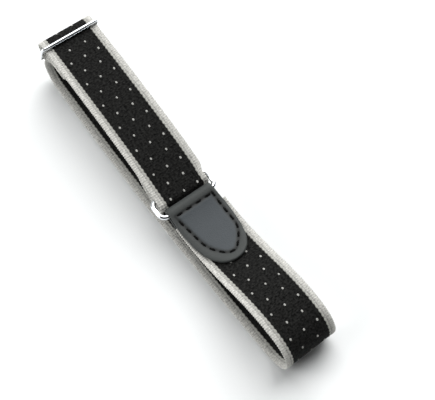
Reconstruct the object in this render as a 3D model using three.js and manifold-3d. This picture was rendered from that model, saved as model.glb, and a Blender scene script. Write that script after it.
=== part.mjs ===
// Sleeve garter: one length of elastic webbing laid down as a flat loop, closed by a
// leather tab, a chrome ring and a chrome three-bar slide.
// Millimetres, +Z up, the loop's long way along X, the strap's width along Y.
import * as THREE from "three";
import { mergeVertices } from "three/addons/utils/BufferGeometryUtils.js";
import Module from "manifold-3d";

const wasm = await Module();
wasm.setup();

// Driving dimensions
const BAND_WIDTH = 25;
const BAND_THICK = 1.5;
const GAP = 0.35;
const STEP = 1.6;
const BEND_STEP = THREE.MathUtils.degToRad(12);
const CURVE_SAMPLES = 600;
const LEAST_STEP = 0.05;

const RING_WIRE = 2.1;
const RING_WIDTH = 29;
const RING_CORNER = 2.8;
const RING_SIDE = -0.8;

const SLIDE_WIDTH = 28.4;
const SLIDE_THICK = 1.4;
const SLIDE_BAR = 2;
const SLIDE_RIM = 1.15;
const SLIDE_PITCH = 6.6;
const SLIDE_CORNER = 2;
const SLIDE_EDGE = 0.3;
const SLOT_CORNER = 0.6;
const SLIDE_TILT = THREE.MathUtils.degToRad(72);
const SLIDE_SIDE = -0.2;

const LEATHER_THICK = 1.4;
const TAB_HALF_WIDTH = 11.5;
const TAB_FOLD_HALF_WIDTH = 11;
const TAB_SIDE = -0.5;
const TAB_LENGTH = 35.15;
const TAB_STRAIGHT = 8.2;
const TIP_REACH = 12;
const TIP_FULLNESS = 0.83;
const CUT_REACH = 60;

// How the loop lies: the upper layer's height over the floor at places along X, from the
// slide's upper bar at X = 0, over the first lobe, down to the ring and over the second lobe.
const UPPER_LAYER = [
  { x: -14, z: 23.5 },
  { x: 0, z: 24.7 },
  { x: 22, z: 25.4 },
  { x: 44, z: 24.7 },
  { x: 64, z: 22.4 },
  { x: 80, z: 18.3 },
  { x: 90, z: 16 },
  { x: 100, z: 14.8 },
  { x: 112, z: 15.4 },
  { x: 124, z: 18.2 },
  { x: 137, z: 22.1 },
  { x: 150, z: 23.8 },
  { x: 163, z: 21.8 },
];
const LOBE_END = 157;
const RING_BAR_X = 88.8;
const STRAP_FOLD_X = 83.2;
const STRAP_FROM_X = 3;
const TAB_NEAR = 6.2;
const END_A_X = RING_BAR_X + TAB_NEAR;
const SEWN_FROM_X = 8;
const END_B_X = 14;
const BACK_JOIN_X = 67;
const LOWER_BEND_TURN = THREE.MathUtils.degToRad(120);
const FLOOR_STEP = 8;

// The strap's fold is loose: it reaches this far past the ring's bar. On the way there the
// strap's far edge draws in, to pass inside the ring. The layer under the strap lies a little
// to the far side.
const FOLD_SLACK = 2.7;
const DRAW_IN = { fromX: 77, toX: 81, by: 1.2 };
const BACK_SIDE = { fromX: 10, fullFromX: 18, fullToX: 66, toX: 74, by: 0.6 };

// The loop isn't quite straight seen from above: its middle line is a parabola with this
// rise in Y at 100 mm from the middle.
const PLAN_BOW = 2.2;
const PLAN_MIDDLE_X = 73.4;

const RIGHT = 0;
const LEFT = Math.PI;

const point = (x, z) => new THREE.Vector2(x, z);
const along = (angle) => point(Math.cos(angle), Math.sin(angle));

// Curves of the side view, as lists of points (x, z)

function arc(centre, radius, from, to) {
  const steps = Math.max(2, Math.ceil(Math.abs(to - from) / BEND_STEP));
  const points = [];
  for (let i = 0; i <= steps; i += 1) {
    const angle = from + ((to - from) * i) / steps;
    points.push(centre.clone().addScaledVector(along(angle), radius));
  }
  return points;
}

function blend(start, startHeading, end, endHeading) {
  const reach = start.distanceTo(end) / 3;
  const curve = new THREE.CubicBezierCurve(
    start,
    start.clone().addScaledVector(along(startHeading), reach),
    end.clone().addScaledVector(along(endHeading), -reach),
    end,
  );
  return curve.getPoints(Math.max(4, Math.ceil(start.distanceTo(end) / STEP)));
}

const upperCurve = new THREE.SplineCurve(UPPER_LAYER.map(({ x, z }) => point(x, z)));
const upperSamples = upperCurve.getPoints(CURVE_SAMPLES);

function upperAt(x, offset = 0) {
  const i = upperSamples.findIndex((sample) => sample.x >= x);
  const before = upperSamples[i - 1];
  const after = upperSamples[i];
  const t = (x - before.x) / (after.x - before.x);
  const place = before.clone().lerp(after, t);
  const heading = after.clone().sub(before).angle();
  const slope = heading > Math.PI ? heading - 2 * Math.PI : heading;
  place.addScaledVector(along(slope + Math.PI / 2), offset);
  return { place, slope };
}

function upperStretch(fromX, toX, offset = 0) {
  const steps = Math.ceil(Math.abs(toX - fromX) / (2 * STEP));
  const points = [];
  for (let i = 0; i <= steps; i += 1) {
    points.push(upperAt(fromX + ((toX - fromX) * i) / steps, offset).place);
  }
  return points;
}

// The hardware's places in the side view
const layerPitch = BAND_THICK + GAP;
const wireWrap = RING_WIRE / 2 + GAP + BAND_THICK / 2;
const tabBar = upperAt(RING_BAR_X).place;
const strapFoldTop = upperAt(STRAP_FOLD_X);
const strapFold = strapFoldTop.place.clone()
  .addScaledVector(along(strapFoldTop.slope - Math.PI / 2), wireWrap);
const strapBar = strapFold.clone().addScaledVector(along(strapFoldTop.slope), -FOLD_SLACK);

const slideDown = along(Math.PI + SLIDE_TILT);
const slideBarReach = (Math.hypot(SLIDE_BAR, SLIDE_THICK) - SLIDE_EDGE) / 2;
const slideTop = point(0, upperAt(0).place.y + BAND_THICK / 2 + GAP + slideBarReach);
const slideMiddle = slideTop.clone().addScaledVector(slideDown, SLIDE_PITCH);
const slideBottom = slideTop.clone().addScaledVector(slideDown, 2 * SLIDE_PITCH);
const barWrap = slideBarReach + GAP + BAND_THICK / 2;
const outerWrap = barWrap + layerPitch;

// Where the webbing's near and far edges lie across the strap, at a place along X
const { smoothstep } = THREE.MathUtils;

function straightEdges() {
  return [-BAND_WIDTH / 2, BAND_WIDTH / 2];
}

function drawnInEdges(x) {
  const [near, far] = straightEdges();
  return [near, far - DRAW_IN.by * smoothstep(x, DRAW_IN.fromX, DRAW_IN.toX)];
}

function backEdges(x) {
  const share = smoothstep(x, BACK_SIDE.fromX, BACK_SIDE.fullFromX)
    * (1 - smoothstep(x, BACK_SIDE.fullToX, BACK_SIDE.toX));
  return drawnInEdges(x).map((edge) => edge + BACK_SIDE.by * share);
}

function floorRun(fromX, toX, height) {
  const steps = Math.ceil(Math.abs(toX - fromX) / FLOOR_STEP);
  const points = [];
  for (let i = 1; i < steps; i += 1) {
    points.push(point(fromX + ((toX - fromX) * i) / steps, height));
  }
  return points;
}

// The webbing's middle line, from the end held in the tab to the end sewn at the slide, in
// stretches with their edges
function bandStretches() {
  const lobe = upperAt(LOBE_END);
  const floor = BAND_THICK / 2;
  const lobeRadius = (lobe.place.y - floor) / (1 + Math.cos(lobe.slope));
  const lobeCentre = lobe.place.clone()
    .addScaledVector(along(lobe.slope - Math.PI / 2), lobeRadius);

  const aroundBottom = arc(slideBottom, barWrap, Math.PI / 2 - LOWER_BEND_TURN, SLIDE_TILT);
  const lowerStart = aroundBottom[0];
  const lowerRadius = (lowerStart.y - floor) / (1 - Math.cos(LOWER_BEND_TURN));
  const lowerCentre = point(
    lowerStart.x + lowerRadius * Math.sin(LOWER_BEND_TURN),
    floor + lowerRadius,
  );
  const lowerFrom = -Math.PI / 2;

  const slotSide = SLIDE_TILT + Math.PI;
  const upperStart = upperAt(STRAP_FROM_X);
  const wrapTop = slideMiddle.clone().addScaledVector(along(Math.PI / 2), outerWrap);

  const down = strapFoldTop.slope - Math.PI / 2;
  const underBar = strapBar.clone().addScaledVector(along(down), wireWrap);
  const backStart = upperAt(BACK_JOIN_X, -layerPitch);
  const backEnd = upperAt(SEWN_FROM_X, -layerPitch);
  const sewnStart = upperAt(SEWN_FROM_X, -2 * layerPitch);
  const wrapAbove = slideMiddle.clone().addScaledVector(along(Math.PI / 2), barWrap);
  const wrapBelow = slideMiddle.clone().addScaledVector(along(-Math.PI / 2), barWrap);

  const loop = [
    ...upperStretch(END_A_X, LOBE_END),
    ...arc(lobeCentre, lobeRadius, lobe.slope + Math.PI / 2, -Math.PI / 2),
    ...floorRun(lobeCentre.x, lowerCentre.x, floor),
    ...arc(lowerCentre, lowerRadius, lowerFrom, lowerFrom - LOWER_BEND_TURN),
    ...aroundBottom,
    ...arc(slideMiddle, outerWrap, slotSide, Math.PI / 2),
    ...blend(wrapTop, RIGHT, upperStart.place, upperStart.slope),
  ];
  const strap = [
    ...upperStretch(STRAP_FROM_X, STRAP_FOLD_X),
    ...arc(strapFold, wireWrap, strapFoldTop.slope + Math.PI / 2, down),
  ];
  const back = [
    ...blend(underBar, LEFT + strapFoldTop.slope, backStart.place, LEFT + backStart.slope),
    ...upperStretch(BACK_JOIN_X, SEWN_FROM_X, -layerPitch),
  ];
  const sewnEnd = [
    ...blend(backEnd.place, LEFT + backEnd.slope, wrapAbove, LEFT),
    ...arc(slideMiddle, barWrap, Math.PI / 2, (3 * Math.PI) / 2),
    ...blend(wrapBelow, RIGHT, sewnStart.place, sewnStart.slope),
    ...upperStretch(SEWN_FROM_X, END_B_X, -2 * layerPitch),
  ];
  return [
    { points: loop, edges: straightEdges },
    { points: strap, edges: drawnInEdges },
    { points: back, edges: backEdges },
    { points: sewnEnd, edges: straightEdges },
  ];
}

// The leather's middle line: over the band end, round the ring's bar and back under it
function leatherMiddleLine() {
  const wrap = RING_WIRE / 2 + GAP + LEATHER_THICK / 2;
  const panel = BAND_THICK / 2 + GAP + LEATHER_THICK / 2;
  const tipX = RING_BAR_X + TAB_LENGTH;
  const nearX = RING_BAR_X + TAB_NEAR;
  const front = upperAt(nearX, panel);
  const back = upperAt(nearX, -panel);
  const { slope } = upperAt(RING_BAR_X);
  const over = tabBar.clone().addScaledVector(along(slope + Math.PI / 2), wrap);
  const under = tabBar.clone().addScaledVector(along(slope - Math.PI / 2), wrap);
  return [
    ...upperStretch(tipX, nearX, panel),
    ...blend(front.place, LEFT + front.slope, over, LEFT + slope),
    ...arc(tabBar, wrap, slope + Math.PI / 2, slope + (3 * Math.PI) / 2),
    ...blend(under, slope, back.place, back.slope),
    ...upperStretch(nearX, tipX, -panel),
  ];
}

const apart = (places) => places.filter(
  (p, i) => i === 0 || p.distanceTo(places[i - 1]) > LEAST_STEP,
);

// The way out of a line's left-hand side, at each of its points
function leftSides(line) {
  return line.map((p, i) => {
    const before = line[Math.max(0, i - 1)];
    const after = line[Math.min(line.length - 1, i + 1)];
    return after.clone().sub(before).normalize().rotateAround(point(0, 0), Math.PI / 2);
  });
}

// A strip of even thickness about a middle line, as a closed outline of the side view
function stripOutline(middleLine, thickness) {
  const line = apart(middleLine);
  const sides = leftSides(line);
  const face = (height) => line.map((p, i) => p.clone().addScaledVector(sides[i], height));
  return [...face(thickness / 2), ...face(-thickness / 2).reverse()];
}

// A strip of even thickness about stretches of a middle line, between their edges
function sweptStrip(stretches, thickness) {
  const line = apart(stretches.flatMap(({ points }) => points));
  const sides = leftSides(line);
  const corners = line.flatMap((p, i) => {
    const { edges } = stretches.find(({ points }) => points.includes(p));
    const [near, far] = edges(p.x);
    const [top, bottom] = [thickness / 2, -thickness / 2].map(
      (height) => p.clone().addScaledVector(sides[i], height),
    );
    return [[top, near], [top, far], [bottom, far], [bottom, near]].flatMap(
      ([{ x, y: z }, y]) => [x, y, z],
    );
  });
  const faces = [0, 2, 1, 0, 3, 2].map((k) => 4 * (line.length - 1) + k);
  faces.push(0, 1, 2, 0, 2, 3);
  for (let a = 0; a < 4 * (line.length - 1); a += 4) {
    for (let k = 0; k < 4; k += 1) {
      const [here, next] = [a + k, a + ((k + 1) % 4)];
      faces.push(here, here + 4, next + 4, here, next + 4, next);
    }
  }
  const geometry = new THREE.BufferGeometry();
  geometry.setAttribute("position", new THREE.Float32BufferAttribute(corners, 3));
  geometry.setIndex(faces);
  return geometry.toNonIndexed();
}

// An outline of the side view, extruded across the strap's width
function acrossStrap(outline, width) {
  const geometry = new THREE.ExtrudeGeometry(new THREE.Shape(outline), {
    depth: width,
    bevelEnabled: false,
  });
  geometry.translate(0, 0, -width / 2);
  geometry.rotateX(Math.PI / 2);
  return geometry;
}

// The gentle bow of the loop seen from above
function bowPlace(x, y) {
  const run = x - PLAN_MIDDLE_X;
  const turn = (2 * PLAN_BOW * run) / 100 ** 2;
  return { x: x - y * turn, y: y + PLAN_BOW * (run / 100) ** 2, turn };
}

function bow(geometry) {
  const places = geometry.attributes.position;
  for (let i = 0; i < places.count; i += 1) {
    const moved = bowPlace(places.getX(i), places.getY(i));
    places.setXY(i, moved.x, moved.y);
  }
  geometry.computeVertexNormals();
  return geometry;
}

// Solids for the boolean cut
function toSolid(geometry) {
  const bare = geometry.clone();
  bare.deleteAttribute("normal");
  bare.deleteAttribute("uv");
  const merged = mergeVertices(bare, 1e-4);
  return new wasm.Manifold(new wasm.Mesh({
    numProp: 3,
    vertProperties: new Float32Array(merged.attributes.position.array),
    triVerts: new Uint32Array(merged.index.array),
  }));
}

function toGeometry(solid) {
  const mesh = solid.getMesh();
  const geometry = new THREE.BufferGeometry();
  geometry.setAttribute("position", new THREE.BufferAttribute(mesh.vertProperties, 3));
  geometry.setIndex(new THREE.BufferAttribute(mesh.triVerts, 1));
  return geometry;
}

// The tab's plan: straight sides that round into a blunt tip
function tabPlan() {
  const fold = RING_WIRE / 2 + GAP + LEATHER_THICK;
  const foldX = RING_BAR_X - 2 * fold;
  const tip = RING_BAR_X - fold + TAB_LENGTH;
  const half = TAB_HALF_WIDTH;
  const straight = RING_BAR_X + TAB_STRAIGHT;
  const reach = straight + TIP_REACH;
  const full = TIP_FULLNESS * half;
  const shape = new THREE.Shape();
  shape.moveTo(foldX, -TAB_FOLD_HALF_WIDTH);
  shape.lineTo(RING_BAR_X, -TAB_FOLD_HALF_WIDTH);
  shape.lineTo(straight, -half);
  shape.bezierCurveTo(reach, -half, tip, -full, tip, 0);
  shape.bezierCurveTo(tip, full, reach, half, straight, half);
  shape.lineTo(RING_BAR_X, TAB_FOLD_HALF_WIDTH);
  shape.lineTo(foldX, TAB_FOLD_HALF_WIDTH);
  shape.closePath();
  return shape;
}

function prism(shape, low, high) {
  const geometry = new THREE.ExtrudeGeometry(shape, {
    depth: high - low,
    bevelEnabled: false,
    curveSegments: 14,
  });
  geometry.translate(0, 0, low);
  return geometry;
}

function tabGeometry() {
  const sideView = stripOutline(leatherMiddleLine(), LEATHER_THICK);
  const folded = toSolid(acrossStrap(sideView, CUT_REACH));
  const cut = prism(tabPlan(), -CUT_REACH, CUT_REACH);
  cut.translate(0, TAB_SIDE, 0);
  const plan = toSolid(cut);
  return toGeometry(folded.intersect(plan));
}

function roundedRectangle(width, height, radius, Kind) {
  const x = width / 2;
  const y = height / 2;
  const outline = new Kind();
  outline.moveTo(x - radius, -y);
  outline.absarc(x - radius, -y + radius, radius, -Math.PI / 2, 0);
  outline.absarc(x - radius, y - radius, radius, 0, Math.PI / 2);
  outline.absarc(-x + radius, y - radius, radius, Math.PI / 2, Math.PI);
  outline.absarc(-x + radius, -y + radius, radius, Math.PI, (3 * Math.PI) / 2);
  return outline;
}

// A closed oblong of round wire: a thin flat loop whose bevels make the round section
function ringGeometry(long) {
  const core = 0.2;
  const round = (RING_WIRE - core) / 2;
  const wide = RING_WIDTH - RING_WIRE;
  const outer = roundedRectangle(long + core, wide + core, RING_CORNER + core / 2, THREE.Shape);
  outer.holes.push(
    roundedRectangle(long - core, wide - core, RING_CORNER - core / 2, THREE.Path),
  );
  const geometry = new THREE.ExtrudeGeometry(outer, {
    depth: core,
    bevelSize: round,
    bevelThickness: round,
    bevelSegments: 4,
    curveSegments: 8,
  });
  geometry.translate(0, 0, -core / 2);
  return geometry;
}

// A flat frame with three cross bars, seen face on with its bars along Y
function slideGeometry() {
  const tall = 2 * SLIDE_PITCH + SLIDE_BAR - 2 * SLIDE_EDGE;
  const wide = SLIDE_WIDTH - 2 * SLIDE_EDGE;
  const plate = new THREE.ExtrudeGeometry(
    roundedRectangle(tall, wide, SLIDE_CORNER, THREE.Shape),
    {
      depth: SLIDE_THICK - 2 * SLIDE_EDGE,
      bevelSize: SLIDE_EDGE,
      bevelThickness: SLIDE_EDGE,
      bevelSegments: 2,
      curveSegments: 6,
    },
  );
  plate.translate(0, 0, SLIDE_EDGE - SLIDE_THICK / 2);
  const slotLong = SLIDE_PITCH - SLIDE_BAR;
  const slotWide = SLIDE_WIDTH - 2 * SLIDE_RIM;
  const slot = roundedRectangle(slotLong, slotWide, SLOT_CORNER, THREE.Shape);
  let frame = toSolid(plate);
  for (const side of [-1, 1]) {
    const cut = prism(slot, -SLIDE_THICK, SLIDE_THICK);
    cut.translate((side * SLIDE_PITCH) / 2, 0, 0);
    frame = frame.subtract(toSolid(cut));
  }
  return toGeometry(frame);
}

const webbing = new THREE.MeshStandardMaterial({ color: 0x1c1c1c, roughness: 0.9 });
const leather = new THREE.MeshStandardMaterial({ color: 0x585c5f, roughness: 0.6 });
const chrome = new THREE.MeshStandardMaterial({ color: 0xd8dadc, roughness: 0.12, metalness: 1 });

function piece(name, geometry, material) {
  const mesh = new THREE.Mesh(geometry, material);
  mesh.name = name;
  return mesh;
}

// A rigid fitting, placed in the side view at a slope and turned with the bow
function fitting(name, geometry, place, slope, side = 0) {
  const mesh = piece(name, geometry, chrome);
  const bowed = bowPlace(place.x, side);
  mesh.position.set(bowed.x, bowed.y, place.y);
  mesh.rotation.set(0, -slope, bowed.turn, "ZYX");
  return mesh;
}

function buildGarter() {
  const garter = new THREE.Group();
  garter.add(piece("elastic_band", bow(sweptStrip(bandStretches(), BAND_THICK)), webbing));
  garter.add(piece("leather_tab", bow(tabGeometry()), leather));

  const ringMiddle = tabBar.clone().lerp(strapBar, 0.5);
  const ringSpan = tabBar.clone().sub(strapBar);
  const ring = ringGeometry(ringSpan.length());
  garter.add(fitting("ring", ring, ringMiddle, ringSpan.angle(), RING_SIDE));
  garter.add(fitting("slide", slideGeometry(), slideMiddle, SLIDE_TILT, SLIDE_SIDE));

  const box = new THREE.Box3().setFromObject(garter);
  const middle = box.getCenter(new THREE.Vector3());
  garter.position.set(-middle.x, -middle.y, -box.min.z);
  garter.updateMatrixWorld(true);
  return garter;
}

export default buildGarter();
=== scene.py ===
"""Sleeve garter: black pin-dot elastic with cream borders, laid down as a flat loop and
closed by a leather tab, a chrome ring and a chrome three-bar slide.

Lengths in this file are millimetres until a mesh is made, in the frame of the CAD source:
X along the loop from the slide's upper bar, Y across the strap to its far side, Z up from the
surface.
"""

import math

import bmesh
import bpy
import numpy as np
from mathutils import Matrix, Vector


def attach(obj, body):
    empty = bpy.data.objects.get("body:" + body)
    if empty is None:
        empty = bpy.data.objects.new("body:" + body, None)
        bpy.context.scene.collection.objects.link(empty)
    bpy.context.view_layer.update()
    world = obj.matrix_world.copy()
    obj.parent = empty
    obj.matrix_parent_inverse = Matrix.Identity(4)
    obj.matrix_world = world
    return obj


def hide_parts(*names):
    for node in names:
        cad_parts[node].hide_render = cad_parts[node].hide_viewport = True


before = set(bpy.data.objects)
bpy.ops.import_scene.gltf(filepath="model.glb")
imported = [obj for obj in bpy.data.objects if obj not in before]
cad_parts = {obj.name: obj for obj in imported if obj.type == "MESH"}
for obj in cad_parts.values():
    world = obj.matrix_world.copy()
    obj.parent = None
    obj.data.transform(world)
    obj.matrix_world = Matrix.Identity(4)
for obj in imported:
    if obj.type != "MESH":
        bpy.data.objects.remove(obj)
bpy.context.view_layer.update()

MM = 0.001

# Where the source's origin lies from the object's, which is under the middle of its box
CAD_SHIFT = np.array([-80.110, -0.022, 0.0])


def new_object(name, data):
    made = bpy.data.objects.new(name, data)
    bpy.context.collection.objects.link(made)
    return made


# Camera: the place that it looks at, and its distance and angles

EYE_TARGET = np.array([88.53, 13.41, 0.0])
EYE_DISTANCE = 629.78
EYE_AZIMUTH = math.radians(-36.0)
EYE_ELEVATION = math.radians(65.0)
EYE_ROLL = math.radians(-0.19)
LENS_MM = 124.14
SENSOR_MM = 36.0
CLIP_START_M = 0.05
CLIP_END_M = 20.0


def direction(azimuth, elevation):
    return Vector((
        math.cos(azimuth) * math.cos(elevation),
        math.sin(azimuth) * math.cos(elevation),
        math.sin(elevation),
    ))


def set_camera():
    out = direction(EYE_AZIMUTH, EYE_ELEVATION)
    camera = new_object("camera", bpy.data.cameras.new("camera"))
    camera.data.lens = LENS_MM
    camera.data.sensor_width = SENSOR_MM
    camera.data.clip_start = CLIP_START_M
    camera.data.clip_end = CLIP_END_M
    turn = out.to_track_quat("Z", "Y").to_matrix() @ Matrix.Rotation(EYE_ROLL, 3, "Z")
    place = Vector((EYE_TARGET + CAD_SHIFT) * MM) + out * EYE_DISTANCE * MM
    camera.matrix_world = Matrix.Translation(place) @ turn.to_4x4()
    bpy.context.scene.camera = camera


set_camera()


# Sizes. Those in _SIDE say how far a piece lies to the far side, or near if negative.

BAND_WIDTH = 25.0
BAND_THICK = 1.5
GAP = 0.35
LAYER_PITCH = BAND_THICK + GAP

RING_WIRE = 2.1
RING_WIDTH = 29.0
RING_CORNER = 2.8
RING_SIDE = -0.8
RING_BAR_X = 88.8
WIRE_WRAP = RING_WIRE / 2 + GAP + BAND_THICK / 2

# The slide's bars, rim and slots. SLIDE_EDGE is the bevel of the solid, and SLIDE_ROUND the finer
# round edge here.
SLIDE_WIDTH = 28.4
SLIDE_THICK = 1.4
SLIDE_BAR = 2.0
SLIDE_RIM = 1.15
SLIDE_PITCH = 6.6
SLIDE_CORNER = 2.0
SLIDE_EDGE = 0.3
SLIDE_ROUND = 0.62
SLOT_CORNER = 0.6
SLIDE_TILT = math.radians(72)
SLIDE_SIDE = -0.2

# The tab is straight for a stretch past the ring's bar, and then curves to its tip. Past TAB_NEAR
# its layers lie on the webbing.
LEATHER_THICK = 1.4
TAB_HALF_WIDTH = 11.5
TAB_FOLD_HALF_WIDTH = 11.0
TAB_SIDE = -0.5
TAB_LENGTH = 35.15
TAB_STRAIGHT = 8.2
TIP_REACH = 12.0
TIP_FULLNESS = 0.83
TAB_NEAR = 6.2

# The height over the floor of the upper layer's middle line, at places along X
UPPER_LAYER = [
    (-14, 23.5), (0, 24.7), (22, 25.4), (44, 24.7), (64, 22.4), (80, 18.3), (90, 16),
    (100, 14.8), (112, 15.4), (124, 18.2), (137, 22.1), (150, 23.8), (163, 21.8),
]

# Where the parts of the webbing's route begin and end along X, and how far the bend below the
# slide turns
LOBE_END_X = 157.0
STRAP_FROM_X, STRAP_FOLD_X = 3.0, 83.2
BACK_JOIN_X = 67.0
SEWN_FROM_X, SEWN_END_X = 8.0, 14.0
LOWER_BEND_TURN = math.radians(120)

# The strap's fold is loose, and reaches this far past the ring's bar. On the way there the outer
# part of its far side draws in, to pass inside the ring.
FOLD_SLACK = 2.7
DRAW_IN = 1.2
DRAW_IN_FROM_X, DRAW_IN_TO_X = 77.0, 81.0
DRAWN_PART_FROM = 8.0

# The layer under the strap lies a little to the far side
BACK_SIDE = 0.6
BACK_SIDE_FROM_X, BACK_SIDE_FULL_FROM_X = 10.0, 18.0
BACK_SIDE_FULL_TO_X, BACK_SIDE_TO_X = 66.0, 74.0

# The bow in plan: how far it reaches at a tenth of a metre from its middle
PLAN_BOW = 2.2
PLAN_BOW_AT = 100.0
PLAN_MIDDLE_X = 73.4


# Side view: angles, and the steps of a route along X, round a bend and between two layers. Points
# closer than the least step are left out.

UP, DOWN, LEFT = math.pi / 2, -math.pi / 2, math.pi
STEPS_PER_MM = 2
BEND_STEP = math.radians(3)
EASE_STEP = 0.4
LEAST_STEP = 0.02
FLOOR_RUN_POINTS = 300


def along(angle):
    """A step of one millimetre at an angle in the side view."""
    return np.array([math.cos(angle), math.sin(angle)])


def steps_of(line):
    """The distances from point to point."""
    return np.linalg.norm(np.diff(line, axis=0), axis=1)


def smooth_line(knots, samples=60):
    """A Catmull-Rom curve through a table of places."""
    knots = np.array(knots, float)
    padded = np.vstack([knots[:1], knots, knots[-1:]])
    t = np.linspace(0, 1, samples, endpoint=False)[:, None]
    spans = []
    for before, a, b, after in zip(padded, padded[1:], padded[2:], padded[3:]):
        v, w = (b - before) / 2, (after - a) / 2
        spans.append(
            (2 * a - 2 * b + v + w) * t**3 + (3 * b - 3 * a - 2 * v - w) * t**2 + v * t + a
        )
    return np.vstack([*spans, knots[-1:]])


UPPER = smooth_line(UPPER_LAYER)


def upper_at(x, offset=0.0):
    """A place on the upper layer or at an offset from it, and the slope there."""
    i = int(np.argmax(UPPER[:, 0] >= x))
    a, b = UPPER[i - 1], UPPER[i]
    slope = math.atan2(b[1] - a[1], b[0] - a[0])
    place = a + (b - a) * (x - a[0]) / (b[0] - a[0])
    return place + along(slope + UP) * offset, slope


def stretch(from_x, to_x, offset=0.0):
    """Points of the upper layer, or of a layer at an offset from it."""
    xs = np.linspace(from_x, to_x, round(abs(to_x - from_x) * STEPS_PER_MM))
    return [upper_at(x, offset)[0] for x in xs]


def arc(centre, radius, start, end):
    steps = round(abs(end - start) / BEND_STEP)
    return [centre + along(a) * radius for a in np.linspace(start, end, steps + 1)]


def bezier(a, b, c, d, steps):
    t = np.linspace(0, 1, steps + 1)[:, None]
    return (1 - t) ** 3 * a + 3 * (1 - t) ** 2 * t * b + 3 * (1 - t) * t * t * c + t**3 * d


def rounded_step(distance, within):
    """From 0 to 1 over a distance, level at both ends."""
    t = np.clip(distance / within, 0, 1)
    return t * t * (3 - 2 * t)


def ease(start, start_heading, end, end_heading):
    """A smooth way from one layer to another."""
    distance = np.linalg.norm(end - start)
    a = start + along(start_heading) * distance / 3
    b = end - along(end_heading) * distance / 3
    return list(bezier(start, a, b, end, round(distance / EASE_STEP)))


tab_bar, tab_slope = upper_at(RING_BAR_X)
strap_top, strap_slope = upper_at(STRAP_FOLD_X)
strap_fold = strap_top + along(strap_slope + DOWN) * WIRE_WRAP
strap_bar = strap_fold - along(strap_slope) * FOLD_SLACK
slide_down = along(LEFT + SLIDE_TILT)
slide_reach = (math.hypot(SLIDE_BAR, SLIDE_THICK) - SLIDE_EDGE) / 2
slide_top = np.array([0, upper_at(0)[0][1] + BAND_THICK / 2 + GAP + slide_reach])
slide_middle = slide_top + slide_down * SLIDE_PITCH
slide_bottom = slide_top + slide_down * 2 * SLIDE_PITCH
bar_wrap = slide_reach + GAP + BAND_THICK / 2
outer_wrap = bar_wrap + LAYER_PITCH


def webbing_route():
    """The webbing's middle line, from the end in the tab to the sewn end, with how far its far
    edge is drawn in and how far it lies to the far side at each point."""
    floor = BAND_THICK / 2
    lobe, slope = upper_at(LOBE_END_X)
    radius = (lobe[1] - floor) / (1 + math.cos(slope))
    round_lobe = arc(lobe + along(slope + DOWN) * radius, radius, slope + UP, DOWN)
    round_bottom = arc(slide_bottom, bar_wrap, UP - LOWER_BEND_TURN, SLIDE_TILT)
    start = round_bottom[0]
    bend = (start[1] - floor) / (1 - math.cos(LOWER_BEND_TURN))
    bend_centre = np.array([start[0] + bend * math.sin(LOWER_BEND_TURN), floor + bend])
    lower_bend = arc(bend_centre, bend, DOWN, DOWN - LOWER_BEND_TURN)
    strap, strap_from = upper_at(STRAP_FROM_X)
    back, back_from = upper_at(BACK_JOIN_X, -LAYER_PITCH)
    back_end, back_to = upper_at(SEWN_FROM_X, -LAYER_PITCH)
    sewn, sewn_from = upper_at(SEWN_FROM_X, -2 * LAYER_PITCH)
    under_bar = strap_bar + along(strap_slope + DOWN) * WIRE_WRAP
    layers = {
        "loop": [
            *stretch(RING_BAR_X + TAB_NEAR, LOBE_END_X),
            *round_lobe,
            *np.linspace(round_lobe[-1], lower_bend[0], FLOOR_RUN_POINTS),
            *lower_bend,
            *round_bottom,
            *arc(slide_middle, outer_wrap, SLIDE_TILT + LEFT, UP),
            *ease(slide_middle + along(UP) * outer_wrap, 0, strap, strap_from),
        ],
        "strap": [
            *stretch(STRAP_FROM_X, STRAP_FOLD_X),
            *arc(strap_fold, WIRE_WRAP, strap_slope + UP, strap_slope + DOWN),
        ],
        "back": [
            *ease(under_bar, LEFT + strap_slope, back, LEFT + back_from),
            *stretch(BACK_JOIN_X, SEWN_FROM_X, -LAYER_PITCH),
        ],
        "sewn_end": [
            *ease(back_end, LEFT + back_to, slide_middle + along(UP) * bar_wrap, LEFT),
            *arc(slide_middle, bar_wrap, UP, 3 * UP),
            *ease(slide_middle + along(DOWN) * bar_wrap, 0, sewn, sewn_from),
            *stretch(SEWN_FROM_X, SEWN_END_X, -2 * LAYER_PITCH),
        ],
    }
    points = np.array([point for layer in layers.values() for point in layer])
    layer = np.array([name for name in layers for _ in layers[name]])
    kept = np.r_[True, steps_of(points) > LEAST_STEP]
    points, layer = points[kept], layer[kept]
    x = points[:, 0]
    in_ring = rounded_step(x - DRAW_IN_FROM_X, DRAW_IN_TO_X - DRAW_IN_FROM_X)
    set_from = rounded_step(x - BACK_SIDE_FROM_X, BACK_SIDE_FULL_FROM_X - BACK_SIDE_FROM_X)
    set_to = rounded_step(BACK_SIDE_TO_X - x, BACK_SIDE_TO_X - BACK_SIDE_FULL_TO_X)
    drawn = DRAW_IN * in_ring * np.isin(layer, ["strap", "back"])
    return points, drawn, BACK_SIDE * set_from * set_to * (layer == "back")


def leather_route():
    """The leather's middle line, from under the tip back round the ring's bar to the tip."""
    panel = BAND_THICK / 2 + GAP + LEATHER_THICK / 2
    wrap = RING_WIRE / 2 + GAP + LEATHER_THICK / 2
    near, far = RING_BAR_X + TAB_NEAR, RING_BAR_X + TAB_LENGTH
    over, under = (tab_bar + along(tab_slope + side) * wrap for side in (UP, DOWN))
    lower, lower_slope = upper_at(near, -panel)
    upper, upper_slope = upper_at(near, panel)
    stretches = [
        stretch(far, near, -panel),
        ease(lower, LEFT + lower_slope, under, LEFT + tab_slope),
        arc(tab_bar, wrap, tab_slope + DOWN, tab_slope + 3 * DOWN),
        ease(over, tab_slope, upper, upper_slope),
        stretch(near, far, panel),
    ]
    points = np.vstack(stretches)
    kept = np.r_[True, steps_of(points) > LEAST_STEP]
    return points[kept]


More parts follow.
